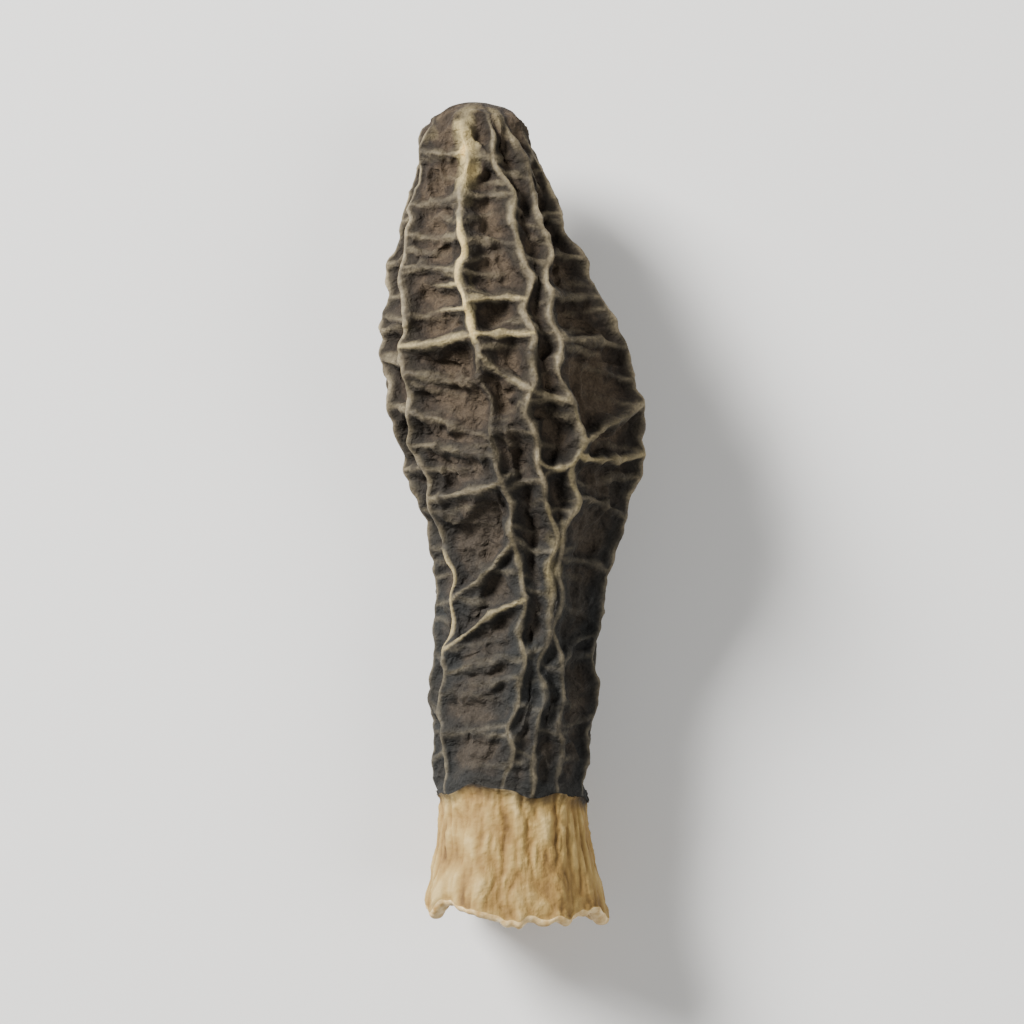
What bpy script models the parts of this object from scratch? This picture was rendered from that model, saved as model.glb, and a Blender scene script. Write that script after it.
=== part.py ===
"""A dried black morel, cut through its stem and lying on its side.

A morel is hollow from the tip of its cap to the cut, and it grew as one piece, so it is one closed solid.
It is a UV sphere whose lower half is pushed up inside the upper half. The sphere's meridians follow the
ribs of the cap. Its parallels run from the tip down the outside, round the cut, and back up inside.

Frame: +Y is towards the tip, +Z is up, and the floor is at z = 0. Lengths are in millimetres until the end.
"""

import math

import bmesh
import bpy
import numpy as np

MM = 0.001

# Sizes of the whole mushroom
CAP_LENGTH = 32.0
CUT_AT = 37.5  # the stem is cut this far below the tip
DOME = 2.2  # length of the rounded tip
SECTION_FLATNESS = 0.95  # height of a cross-section over its width

# The mesh: meridians, and parallels down the outside, round the cut and up the inside
COLUMNS_PER_PIT = 6
DOME_ROWS = 5
CAP_ROWS = 57
CUT_ROWS = 67
ALL_ROWS = 78

# Stations from the tip down: distance, radius over the crests, depth of the pits
CAP_STATIONS = (
    (0.0, 2.45, 0.50),
    (2.0, 2.75, 0.80),
    (4.0, 3.25, 0.95),
    (7.1, 4.65, 1.10),
    (10.4, 5.65, 1.20),
    (14.0, 6.02, 1.30),
    (17.5, 5.45, 1.15),
    (20.5, 4.50, 0.95),
    (24.0, 3.98, 0.80),
    (27.0, 3.88, 0.72),
    (30.0, 3.76, 0.62),
    (32.0, 3.60, 0.42),
)
# Stations of the centre line: distance from the tip, sideways, height over the floor. The belly and the
# rim of the cut stand lower than their radius, so the floor presses their lowest ribs flat
CENTRE_STATIONS = (
    (0.0, -1.45, 5.50),
    (4.0, -1.22, 5.45),
    (8.0, -0.68, 5.40),
    (12.0, -0.05, 5.30),
    (16.0, 0.62, 5.05),
    (19.0, 0.88, 4.60),
    (22.0, 0.72, 4.15),
    (26.0, 0.36, 3.97),
    (30.0, 0.24, 3.95),
    (38.0, 0.35, 3.95),
)
# The stem and the rim of the cut: row, distance from the tip, radius
STEM_OUTLINE = (
    (57, 32.00, 3.60),
    (58, 32.35, 3.42),
    (59, 32.90, 3.42),
    (60, 33.70, 3.50),
    (61, 34.60, 3.62),
    (62, 35.60, 3.80),
    (63, 36.60, 4.02),
    (64, 37.25, 4.16),
    (65, 37.50, 4.00),
    (66, 37.50, 3.62),
    (67, 37.15, 3.36),
)
# The hollow, from the cut up to its own tip: row, distance from the tip, radius, sideways, height
HOLLOW_OUTLINE = (
    (67, 37.15, 3.36, 0.32, 3.98),
    (68, 34.60, 2.86, 0.32, 3.98),
    (69, 31.60, 2.50, 0.32, 3.98),
    (70, 28.20, 2.50, 0.32, 3.98),
    (71, 24.60, 2.50, 0.36, 4.00),
    (72, 21.00, 2.56, 0.56, 4.22),
    (73, 17.50, 3.62, 0.60, 4.80),
    (74, 14.00, 4.02, 0.30, 5.16),
    (75, 10.40, 3.78, -0.30, 5.28),
    (76, 6.80, 2.45, -0.90, 5.42),
    (77, 4.20, 1.20, -1.20, 5.45),
    (78, 3.00, 0.00, -1.30, 5.45),
)

# Ribs, anticlockwise as the stem's end sees them, from the right edge over the top of the lying cap.
# The angle of each at eight-millimetre stations down the cap, in degrees.
RIB_STATIONS = (0.0, 4.0, 8.0, 12.0, 16.0, 20.0, 24.0, 28.0, 32.0)
SEEN_RIBS = (
    (32, 24, 27, 20, 11, 17, 17, 16, 25),
    (58, 44, 58, 66, 61, 66, 62, 52, 54),
    (78, 70, 72, 78, 84, 74, 69, 70, 75),
    (103, 104, 107, 104, 104, 97, 87, 86, 97),
    (155, 162, 151, 145, 151, 154, 144, 154, 150),
)
UNDER_RIBS = (179, 204, 229, 254, 286, 316, 345)
WANDER_DEG = (4.5, 2.0)  # slow and quick sideways wander of a rib under the cap
WANDER_MM = (13.0, 5.0)  # the length of each
RIB_SWAY = ((0.15, 3.9), (0.10, 2.3))  # every rib sways this far in mm, over this length in mm

# Cross-ribs: distance from the tip at the right rib, at the left rib, and height as a share of the ribs'
SEEN_CROSS_RIBS = (
    (
        (2.6, 3.0, 0.6), (5.3, 5.6, 0.6), (7.6, 7.7, 0.7), (9.3, 9.5, 0.7), (11.6, 11.5, 0.75),
        (14.1, 16.2, 1.0), (16.3, 16.8, 0.95), (19.3, 18.7, 0.7), (21.8, 21.4, 0.6),
        (24.7, 26.3, 0.7), (28.4, 29.0, 0.6),
    ),
    (
        (3.8, 3.6, 0.6), (8.0, 7.8, 0.6), (11.2, 11.0, 0.6), (14.3, 13.9, 0.9), (17.1, 17.1, 1.0),
        (19.5, 19.3, 0.6), (26.4, 25.9, 0.6), (29.4, 29.0, 0.6),
    ),
    (
        (2.9, 2.8, 0.8), (4.7, 4.7, 0.7), (7.2, 7.1, 0.5), (9.7, 9.8, 1.0), (11.3, 11.3, 1.0),
        (13.9, 12.2, 1.0), (15.9, 15.7, 0.6), (18.0, 18.3, 0.75), (20.9, 20.4, 0.7),
        (23.0, 22.7, 0.6), (25.4, 25.6, 0.6), (28.3, 27.9, 0.6), (30.5, 30.2, 0.5),
    ),
    (
        (2.6, 2.4, 0.6), (4.7, 4.9, 0.6), (6.6, 6.3, 0.5), (8.6, 8.2, 0.5), (11.3, 11.65, 1.0),
        (13.3, 12.85, 0.6), (16.1, 14.6, 0.65), (16.9, 16.2, 0.8), (18.0, 18.6, 1.0),
        (20.6, 23.3, 1.0), (23.2, 25.6, 1.0), (26.0, 26.7, 0.6), (29.0, 29.4, 0.7),
    ),
)
# Where a rib is faint: which rib, from, to, and the share of its height that it loses. The first opens two
# pits into one on the belly, and the others end a little below the tip instead of meeting there
FAINT_STRETCHES = (
    (3, 12.1, 17.5, 0.65),
    (0, -2.0, 2.6, 0.85),
    (6, -2.0, 3.0, 0.85),
    (8, -2.0, 2.2, 0.85),
    (10, -2.0, 3.2, 0.85),
)
UNDER_SPACING = (1.8, 3.1)  # between cross-ribs under the cap
UNDER_SLANT = 0.8
UNDER_SHARE = (0.6, 1.0)
CROSS_RIB_BOW = 0.30  # mm, how far the middle of a cross-rib may stray up or down the cap
SEED = 7

# Section of a rib: half its thickness halfway up, and where the mesh's columns stand beside its crest
RIB_HALF = 0.38
SLENDER_BELOW = 4.8  # where the cap's radius is less, its ribs are thinner in proportion
CROSS_RIB_HALF = 0.35
CREST_COLUMN = 0.21
FLANK_COLUMN = 0.62
CREST_WAVE = 0.10  # rise and fall of a crest
CREST_SAG = 0.22  # how much lower a crest is between its meetings with cross-ribs
RIM_OF_PIT = 0.72  # depth of a pit beside its ribs, as a share of its depth in the middle

# Out-of-round cap with an uneven edge, pleated stem and the slanting, uneven cut
MARGIN_WAVES = ((2, 0.5, 0.24), (5, 1.0, 0.17), (11, 0.0, 0.08))
CAP_LOBES = ((2, 0.0, 0.030), (3, 1.1, 0.016))
STEM_PLEATS = ((3, 1.0, 0.045), (7, 0.4, 0.030), (12, 2.1, 0.022))
CUT_WAVES = ((1, 0.6, 0.45), (4, 2.0, 0.20), (7, 0.5, 0.12))

CAP_COLOUR = (0.085, 0.066, 0.055, 1.0)
MIDDLE = (0.2558, 19.049)  # the middle of the outline from above, which goes over the origin


def through(stations, values, at):
    """A smooth line through the stations: cubic pieces whose slopes are those of the neighbours' chord."""
    x = np.asarray(stations, float)
    y = np.asarray(values, float)
    slope = np.gradient(y, x)
    at = np.clip(at, x[0], x[-1])
    i = np.clip(np.searchsorted(x, at, side="right") - 1, 0, len(x) - 2)
    h = x[i + 1] - x[i]
    s = (at - x[i]) / h
    return (
        y[i] * (1 + 2 * s) * (1 - s) ** 2
        + slope[i] * h * s * (1 - s) ** 2
        + y[i + 1] * s**2 * (3 - 2 * s)
        + slope[i + 1] * h * s**2 * (s - 1)
    )


def column_of(table, number):
    return [row[number] for row in table]


def crest_radius(down):
    """Radius over the crests. The tip is a dome, so it closes as an ellipse does."""
    closing = np.sqrt(np.clip(1 - (1 - np.minimum(down / DOME, 1)) ** 2, 0, 1))
    return through(column_of(CAP_STATIONS, 0), column_of(CAP_STATIONS, 1), down) * closing


def pit_depth(down):
    return through(column_of(CAP_STATIONS, 0), column_of(CAP_STATIONS, 2), down)


def waves(angle, terms):
    """The sum of sines round the section, each (how many times round, phase, size)."""
    return sum(size * np.sin(times * angle + phase) for times, phase, size in terms)


def rib_sway(rib, down):
    """How far a rib sways sideways, in mm. It stands still at the tip and at the edge of the cap."""
    phases = np.random.default_rng(SEED + 100 + rib).uniform(0, 2 * math.pi, len(RIB_SWAY))
    free = np.clip(down / 3, 0, 1) * np.clip((CAP_LENGTH - down) / 2, 0, 1)
    return free * sum(far * np.sin(2 * math.pi * down / mm + p) for (far, mm), p in zip(RIB_SWAY, phases))


def rib_lines():
    """For each rib, the function that gives its angle at a distance from the tip, without its sway."""
    chance = np.random.default_rng(SEED)
    lines = []
    for angles in SEEN_RIBS:
        lines.append(lambda down, a=angles: np.radians(through(RIB_STATIONS, a, down)))
    for middle in UNDER_RIBS:
        phases = chance.uniform(0, 2 * math.pi, 2)

        def under(down, middle=middle, phases=phases):
            turns = zip(WANDER_DEG, WANDER_MM, phases)
            sway = sum(a * np.sin(2 * math.pi * down / mm + p) for a, mm, p in turns)
            return np.radians(middle + sway)

        lines.append(under)
    return lines


def cross_ribs():
    """For each pit column, its cross-ribs from the tip down, the hidden ones drawn by rule."""
    chance = np.random.default_rng(SEED + 1)
    columns = [list(seen) for seen in SEEN_CROSS_RIBS]
    for _ in range(len(SEEN_RIBS) + len(UNDER_RIBS) - len(SEEN_CROSS_RIBS)):
        down = chance.uniform(2.0, 3.4)
        column = []
        while down < CAP_LENGTH - 1.5:
            slant = chance.uniform(-UNDER_SLANT, UNDER_SLANT) / 2
            column.append((down - slant, down + slant, chance.uniform(*UNDER_SHARE)))
            down += chance.uniform(*UNDER_SPACING)
        columns.append(column)
    return columns


RIBS = rib_lines()
CROSS_RIBS = cross_ribs()
PITS_ROUND = len(RIBS)
COLUMNS = PITS_ROUND * COLUMNS_PER_PIT
CROSS_BOWS = [
    np.random.default_rng(SEED + 30 + pit).uniform(-CROSS_RIB_BOW, CROSS_RIB_BOW, len(CROSS_RIBS[pit]))
    for pit in range(PITS_ROUND)
]


def rib_angle(rib, down):
    """Angle of a rib at a distance from the tip."""
    return RIBS[rib](down) + rib_sway(rib, down) / np.maximum(crest_radius(down), 0.5)


def arch(across):
    """0 at both ribs and 1 halfway between them."""
    return 4 * across * (1 - across)


def plain_rows(row):
    """Distance from the tip of a cap row before the cross-ribs pull at it, closer together on the dome."""
    dome = DOME * (1 - np.cos(math.pi / 2 * np.minimum(row / DOME_ROWS, 1)))
    below = np.maximum(row - DOME_ROWS, 0) / (CAP_ROWS - DOME_ROWS)
    return dome + below * (CAP_LENGTH - DOME)


def pulled_rows(row, pit, across):
    """The cap rows at a place across a pit, moved so that one row lies along each of its cross-ribs."""
    knots, moves, last = [0], [(0.0, 0.0, 0.0)], 0
    all_rows = np.arange(CAP_ROWS + 1)
    for (right, left, _), bow in zip(CROSS_RIBS[pit], CROSS_BOWS[pit]):
        nearest = int(np.argmin(np.abs(plain_rows(all_rows) - (right + left) / 2)))
        last = max(nearest, last + 2)
        knots.append(last)
        moves.append((right - plain_rows(np.array(last)), left - right, bow))
    knots.append(CAP_ROWS)
    moves.append((0.0, 0.0, 0.0))
    shift, slant, bow = (np.interp(row, knots, values) for values in zip(*moves))
    return plain_rows(row) + shift + slant * across + bow * arch(across)


def ribs_beside(pit, down):
    """Angles of a pit's right and left ribs, and the width of the pit over their crests, in mm."""
    after = (pit + 1) % PITS_ROUND
    right = rib_angle(pit, down)
    left = rib_angle(after, down) + (2 * math.pi if after == 0 else 0)
    return right, left, (left - right) * np.maximum(crest_radius(down), 0.2)


def across_pit(width, step):
    """How far across a pit column number step stands, 0 at its right rib and 1 at its left one."""
    crest = np.minimum(CREST_COLUMN / width, 0.15)
    flank = np.minimum(FLANK_COLUMN / width, 0.32)
    places = (0 * width, crest, flank, 0 * width + 0.5, 1 - flank, 1 - crest)
    return places[step]


def rows_on_rib(row, pit):
    """The cap rows on the rib at the right of a pit: the mean of what the pits on both sides ask."""
    return (pulled_rows(row, pit, 0) + pulled_rows(row, (pit - 1) % PITS_ROUND, 1)) / 2


def cap_rows(row, pit, step):
    """The cap rows of a column, the pit's own in its middle and its ribs' at its edges."""
    across = across_pit(ribs_beside(pit, plain_rows(row))[2], step)
    towards_right = np.maximum(1 - 2 * across, 0) ** 2
    towards_left = np.maximum(2 * across - 1, 0) ** 2
    right_change = rows_on_rib(row, pit) - pulled_rows(row, pit, 0)
    left_change = rows_on_rib(row, (pit + 1) % PITS_ROUND) - pulled_rows(row, pit, 1)
    return pulled_rows(row, pit, across) + right_change * towards_right + left_change * towards_left


def rib_strength(rib, down):
    """Share of its height that a rib keeps: all but what its faint stretches take, with ends 1 mm long."""
    lost = [
        share * np.clip(down - start, 0, 1) * np.clip(end - down, 0, 1)
        for number, start, end, share in FAINT_STRETCHES if number == rib
    ]
    return 1 - sum(lost, np.zeros_like(down))


def peak_height(rib, down):
    """Height of a crest: full where a cross-rib meets it, sagging by a bell curve in between."""
    meets = [right for right, _, _ in CROSS_RIBS[rib]] + [left for _, left, _ in CROSS_RIBS[rib - 1]]
    nearest = np.min(np.abs(down[:, None] - np.array(meets)), axis=1)
    return rib_strength(rib, down) * (1 - CREST_SAG * (1 - np.exp(-((nearest / 0.55) ** 2))))


def bump(distance, half):
    """A ridge's section: 1 on its crest, a half at half, nearly 0 beyond it."""
    return 1 / (1 + (distance / half) ** 4)


def cap_point(row, column):
    """Angle, distance from the tip and radius of the cap's mesh points in one column."""
    pit, step = divmod(column, COLUMNS_PER_PIT)
    down = cap_rows(row, pit, step)
    right, left, width = ribs_beside(pit, down)
    across = across_pit(width, step)
    angle = right + (left - right) * across
    to_rib = np.minimum(across, 1 - across) * width
    near_rib = pit if step <= COLUMNS_PER_PIT / 2 else (pit + 1) % PITS_ROUND
    half = RIB_HALF * np.clip(crest_radius(down) / SLENDER_BELOW, 0.55, 1)
    hollow = 1 - bump(to_rib, half) * peak_height(near_rib, down)
    neighbours = [pit] if step else [pit, (pit - 1) % PITS_ROUND]
    for number in neighbours:
        for (start, end, share), bow in zip(CROSS_RIBS[number], CROSS_BOWS[number]):
            place = start + (end - start) * (across if number == pit else 1 - across) + bow * arch(across)
            hollow = hollow * (1 - share * bump(down - place, CROSS_RIB_HALF))
    shallow = np.clip(width / 1.8, 0.25, 1)  # narrow pits are shallow
    wave = CREST_WAVE * np.sin(1.9 * down + 2.4 * near_rib) * (1 - hollow)
    bowl = RIM_OF_PIT + (1 - RIM_OF_PIT) * arch(across) ** 0.7
    radius = crest_radius(down) * (1 + waves(angle, CAP_LOBES))
    closing = np.minimum(down / DOME, 1)
    near_margin = np.clip((down - 27) / (CAP_LENGTH - 27), 0, 1) ** 2
    end = down + waves(angle, MARGIN_WAVES) * near_margin
    return angle, end, radius + (wave - pit_depth(down) * shallow * hollow * bowl) * closing


def below_cap_point(row, column, outline):
    """The same for the rows below the cap, along the stem's outline or the hollow's."""
    angle = cap_point(np.array([CAP_ROWS]), column)[0][0]  # each column keeps its angle at the cap's edge
    down = through(column_of(outline, 0), column_of(outline, 1), row)
    radius = through(column_of(outline, 0), column_of(outline, 2), row)
    on_stem = np.clip((down - CAP_LENGTH) / (CUT_AT - CAP_LENGTH), 0, 1)
    lobes = waves(angle, CAP_LOBES) * (1 - on_stem) + waves(angle, STEM_PLEATS) * on_stem
    uneven = waves(angle, CUT_WAVES) * on_stem**2 + waves(angle, MARGIN_WAVES) * (1 - on_stem) ** 3
    return angle, down + uneven, radius * (1 + lobes)


def centre_line(down):
    """Sideways place and height of the mushroom's centre line at a distance from the tip."""
    place = column_of(CENTRE_STATIONS, 0)
    return [through(place, column_of(CENTRE_STATIONS, number), down) for number in (1, 2)]


def lay_down(angle, down, radius, centre):
    """Puts a section round its centre, with the tip along +Y. Nothing goes below the floor."""
    x = centre[0] + radius * np.cos(angle)
    z = centre[1] + radius * np.sin(angle) * SECTION_FLATNESS
    return np.stack([x - MIDDLE[0], MIDDLE[1] - down, np.maximum(z, 0.0)], axis=-1)


def skin():
    """Every mesh point, by row and column, in millimetres."""
    cap = np.arange(CAP_ROWS + 1)
    stem = np.arange(CAP_ROWS + 1, CUT_ROWS)
    hollow = np.arange(CUT_ROWS, ALL_ROWS + 1)
    in_hollow = [through(column_of(HOLLOW_OUTLINE, 0), column_of(HOLLOW_OUTLINE, n), hollow) for n in (3, 4)]
    points = np.zeros((ALL_ROWS + 1, COLUMNS, 3))
    for column in range(COLUMNS):
        angle, down, radius = cap_point(cap, column)
        points[cap, column] = lay_down(angle, down, radius, centre_line(down))
        angle, down, radius = below_cap_point(stem, column, STEM_OUTLINE)
        points[stem, column] = lay_down(angle, down, radius, centre_line(down))
        angle, down, radius = below_cap_point(hollow, column, HOLLOW_OUTLINE)
        points[hollow, column] = lay_down(angle, down, radius, in_hollow)
    return points


def morel_mesh():
    """A UV sphere with each vertex moved to the place of its row and column."""
    points = skin() * MM
    shape = bmesh.new()
    bmesh.ops.create_uvsphere(shape, u_segments=COLUMNS, v_segments=ALL_ROWS, radius=1)
    for vertex in shape.verts:
        row = round(math.acos(max(-1, min(1, vertex.co.z))) / math.pi * ALL_ROWS)
        column = round(-math.atan2(vertex.co.y, vertex.co.x) / (2 * math.pi) * COLUMNS)
        vertex.co = points[row, column % COLUMNS]
    mesh = bpy.data.meshes.new("morel")
    shape.to_mesh(mesh)
    shape.free()
    mesh.shade_smooth()
    mesh.set_sharp_from_angle(angle=math.radians(60))
    return mesh


def dried_flesh():
    material = bpy.data.materials.new("dried morel flesh")
    material.use_nodes = True
    shader = material.node_tree.nodes["Principled BSDF"]
    shader.inputs["Base Color"].default_value = CAP_COLOUR
    shader.inputs["Roughness"].default_value = 0.85
    shader.inputs["Metallic"].default_value = 0.0
    return material


def main():
    for old in list(bpy.data.objects):
        bpy.data.objects.remove(old)
    collection = bpy.data.collections.new("Dried morel")
    bpy.context.scene.collection.children.link(collection)
    morel = bpy.data.objects.new("morel", morel_mesh())
    morel.data.materials.append(dried_flesh())
    collection.objects.link(morel)


main()
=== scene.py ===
# %% [markdown]
# A dried black morel, cut through its stem and laid on its side. A morel is one piece of hollow flesh: a cap
# covered with a net of raised ribs round open pits, on a pale stem. Drying shrinks the flesh between the
# ribs, so the ribs stand out as thin crests and the pits wrinkle. It could be sculpted by hand, but here its
# skin is worked out by formulas, because a reader can then change one number and see what it did.
#
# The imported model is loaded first. It fixes the size and the place of the mushroom, in metres.

# %% Load the fixed frame
import math

import bpy
import numpy as np
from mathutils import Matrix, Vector


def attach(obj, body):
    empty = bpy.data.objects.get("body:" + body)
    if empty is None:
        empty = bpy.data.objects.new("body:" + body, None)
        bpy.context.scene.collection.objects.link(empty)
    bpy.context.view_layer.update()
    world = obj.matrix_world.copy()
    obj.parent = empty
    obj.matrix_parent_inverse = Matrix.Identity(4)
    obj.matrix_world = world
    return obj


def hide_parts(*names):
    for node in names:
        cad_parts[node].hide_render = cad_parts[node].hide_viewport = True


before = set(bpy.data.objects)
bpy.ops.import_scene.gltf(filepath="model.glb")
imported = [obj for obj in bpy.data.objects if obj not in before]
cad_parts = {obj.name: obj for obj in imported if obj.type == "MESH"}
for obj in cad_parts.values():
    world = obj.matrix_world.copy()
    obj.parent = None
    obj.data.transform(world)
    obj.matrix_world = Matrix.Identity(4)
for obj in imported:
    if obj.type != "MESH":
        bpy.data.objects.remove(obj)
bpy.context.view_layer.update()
MM = 0.001

# %% [markdown]
# The camera comes before the mushroom. The photograph looks straight at the mushroom's side from far away,
# and the mushroom now lies down, so the camera hangs over it with a long lens. It leans a little towards the
# cut end, as the photograph's camera stands a little below the tip. Long lenses keep a small thing from
# looking like a building.

# %% Camera over the mushroom
CAMERA_LENS = 150.0  # mm, on a sensor 36 mm wide
SENSOR = 36.0
CAMERA_LEAN = math.radians(3.5)
FRAME_HEIGHT = 47.5 * MM  # what the picture takes in at the mushroom
LOOK_AT = Vector((0.0, 0.0, 5.0 * MM))


def new_object(name, data):
    """Puts data into the scene as an object at the origin."""
    made = bpy.data.objects.new(name, data)
    bpy.context.scene.collection.objects.link(made)
    return made


camera_data = bpy.data.cameras.new("camera")
camera_data.lens = CAMERA_LENS
camera_data.sensor_width = SENSOR
camera_data.clip_start = 5 * MM
camera = new_object("camera", camera_data)
bpy.context.scene.camera = camera
camera_distance = FRAME_HEIGHT * CAMERA_LENS / SENSOR
backwards = Vector((0.0, -math.sin(CAMERA_LEAN), math.cos(CAMERA_LEAN)))
camera.location = LOOK_AT + backwards * camera_distance
camera.rotation_euler = backwards.to_track_quat("Z", "Y").to_euler()
print("camera distance in mm", round(camera_distance / MM, 1))

# %% [markdown]
# The mushroom is described from its tip down. A few stations give the radius over the crests of the ribs, the
# depth of the pits and the place of the centre line, and a smooth line goes through them. They are the same
# stations as in the solid model, so this finer skin lies where that solid is.

# %% Outline of the mushroom
CAP_LENGTH = 32.0  # all lengths are in mm until the mesh is made
CUT_AT = 37.5  # distance from the tip
DOME = 2.2  # the tip is rounded over this distance
SECTION_FLATNESS = 0.95  # drying has left the section this much lower than it is wide
MIDDLE = (0.2558, 19.049)  # sideways and from the tip: the middle of the outline, which goes to the origin

# Distance from the tip, radius over the crests, depth of the pits
CAP_STATIONS = np.array((
    (0.0, 2.45, 0.50),
    (2.0, 2.75, 0.80),
    (4.0, 3.25, 0.95),
    (7.1, 4.65, 1.10),
    (10.4, 5.65, 1.20),
    (14.0, 6.02, 1.30),
    (17.5, 5.45, 1.15),
    (20.5, 4.50, 0.95),
    (24.0, 3.98, 0.80),
    (27.0, 3.88, 0.72),
    (30.0, 3.76, 0.62),
    (32.0, 3.60, 0.42),
))
# Distance from the tip, sideways, height over the floor
CENTRE_STATIONS = np.array((
    (0.0, -1.45, 5.50),
    (4.0, -1.22, 5.45),
    (8.0, -0.68, 5.40),
    (12.0, -0.05, 5.30),
    (16.0, 0.62, 5.05),
    (19.0, 0.88, 4.60),
    (22.0, 0.72, 4.15),
    (26.0, 0.36, 3.97),
    (30.0, 0.24, 3.95),
    (38.0, 0.35, 3.95),
))
# Place along the outline, distance from the tip, radius: the stem and the rim of the cut
STEM_OUTLINE = np.array((
    (57, 32.00, 3.60),
    (58, 32.35, 3.42),
    (59, 32.90, 3.42),
    (60, 33.70, 3.50),
    (61, 34.60, 3.62),
    (62, 35.60, 3.80),
    (63, 36.60, 4.02),
    (64, 37.25, 4.16),
    (65, 37.50, 4.00),
    (66, 37.50, 3.62),
    (67, 37.15, 3.36),
))
# Place along the outline, distance from the tip, radius, sideways, height: the hollow
HOLLOW_OUTLINE = np.array((
    (67, 37.15, 3.36, 0.32, 3.98),
    (68, 34.60, 2.86, 0.32, 3.98),
    (69, 31.60, 2.50, 0.32, 3.98),
    (70, 28.20, 2.50, 0.32, 3.98),
    (71, 24.60, 2.50, 0.36, 4.00),
    (72, 21.00, 2.56, 0.56, 4.22),
    (73, 17.50, 3.62, 0.60, 4.80),
    (74, 14.00, 4.02, 0.30, 5.16),
    (75, 10.40, 3.78, -0.30, 5.28),
    (76, 6.80, 2.45, -0.90, 5.42),
    (77, 4.20, 1.20, -1.20, 5.45),
    (78, 3.00, 0.00, -1.30, 5.45),
))


def through(table, number, at):
    """A smooth line through a table's column: cubic pieces that take their slope from the two neighbours."""
    x, y = table[:, 0], table[:, number]
    slope = np.gradient(y, x)
    at = np.clip(at, x[0], x[-1])
    i = np.clip(np.searchsorted(x, at, side="right") - 1, 0, len(x) - 2)
    h = x[i + 1] - x[i]
    s = (at - x[i]) / h
    return (
        y[i] * (1 + 2 * s) * (1 - s) ** 2
        + slope[i] * h * s * (1 - s) ** 2
        + y[i + 1] * s**2 * (3 - 2 * s)
        + slope[i + 1] * h * s**2 * (s - 1)
    )


def crest_radius(down):
    """Radius over the crests: the stations' radius, closed over the tip by a quarter of an ellipse."""
    closing = np.sqrt(np.clip(1 - (1 - np.minimum(down / DOME, 1)) ** 2, 0, 1))
    return through(CAP_STATIONS, 1, down) * closing


print("widest over the crests", round(float(2 * crest_radius(np.linspace(0, 32, 200)).max()), 2), "mm")

# %% [markdown]
# The ribs run from the tip to the edge of the cap. The angles of those that the photograph shows are read off
# at a few distances from the tip. The ones underneath wander by a rule. Cross-ribs join them like the rungs
# of a ladder, each with a place at its right end, a place at its left end, and a height.

# %% Ribs and cross-ribs
SEED = 7
RIB_STATIONS = (0.0, 4.0, 8.0, 12.0, 16.0, 20.0, 24.0, 28.0, 32.0)  # mm from the tip
# Angle of each rib at those stations, in degrees: 0 is at the right of the picture and 90 on top
SEEN_RIBS = (
    (32, 24, 27, 20, 11, 17, 17, 16, 25),
    (58, 44, 58, 66, 61, 66, 62, 52, 54),
    (78, 70, 72, 78, 84, 74, 69, 70, 75),
    (103, 104, 107, 104, 104, 97, 87, 86, 97),
    (155, 162, 151, 145, 151, 154, 144, 154, 150),
)
UNDER_RIBS = (179, 204, 229, 254, 286, 316, 345)  # middle angle of each rib underneath
WANDER_DEG = (4.5, 2.0)  # how far such a rib turns away from it, slowly and quickly
WANDER_MM = (13.0, 5.0)  # and over what length
RIB_SWAY = ((0.15, 3.9), (0.10, 2.3))  # every rib sways this far in mm, over this length in mm
PITS_ROUND = len(SEEN_RIBS) + len(UNDER_RIBS)

# For each column of pits: place at its right rib, place at its left rib, share of the full height
SEEN_CROSS_RIBS = (
    (
        (2.6, 3.0, 0.6), (5.3, 5.6, 0.6), (7.6, 7.7, 0.7), (9.3, 9.5, 0.7), (11.6, 11.5, 0.75),
        (14.1, 16.2, 1.0), (16.3, 16.8, 0.95), (19.3, 18.7, 0.7), (21.8, 21.4, 0.6),
        (24.7, 26.3, 0.7), (28.4, 29.0, 0.6),
    ),
    (
        (3.8, 3.6, 0.6), (8.0, 7.8, 0.6), (11.2, 11.0, 0.6), (14.3, 13.9, 0.9), (17.1, 17.1, 1.0),
        (19.5, 19.3, 0.6), (26.4, 25.9, 0.6), (29.4, 29.0, 0.6),
    ),
    (
        (2.9, 2.8, 0.8), (4.7, 4.7, 0.7), (7.2, 7.1, 0.5), (9.7, 9.8, 1.0), (11.3, 11.3, 1.0),
        (13.9, 12.2, 1.0), (15.9, 15.7, 0.6), (18.0, 18.3, 0.75), (20.9, 20.4, 0.7),
        (23.0, 22.7, 0.6), (25.4, 25.6, 0.6), (28.3, 27.9, 0.6), (30.5, 30.2, 0.5),
    ),
    (
        (2.6, 2.4, 0.6), (4.7, 4.9, 0.6), (6.6, 6.3, 0.5), (8.6, 8.2, 0.5), (11.3, 11.65, 1.0),
        (13.3, 12.85, 0.6), (16.1, 14.6, 0.65), (16.9, 16.2, 0.8), (18.0, 18.6, 1.0),
        (20.6, 23.3, 1.0), (23.2, 25.6, 1.0), (26.0, 26.7, 0.6), (29.0, 29.4, 0.7),
    ),
)
# Where a rib is faint: which rib, from, to, and the share of its height that it loses. The first opens two
# pits into one on the belly, and the others end a little below the tip instead of meeting there
FAINT_STRETCHES = (
    (3, 12.1, 17.5, 0.65),
    (0, -2.0, 2.6, 0.85),
    (6, -2.0, 3.0, 0.85),
    (8, -2.0, 2.2, 0.85),
    (10, -2.0, 3.2, 0.85),
)
# Hidden cross-ribs: where the first one may lie, their spacing, slant and height, and the room below the last
UNDER_START = (2.0, 3.4)
UNDER_SPACING = (1.8, 3.1)
UNDER_SLANT = 0.8
UNDER_SHARE = (0.6, 1.0)
UNDER_ROOM = 1.5

rib_phases = np.random.default_rng(SEED).uniform(0, 2 * math.pi, (len(UNDER_RIBS), 2))


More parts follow.
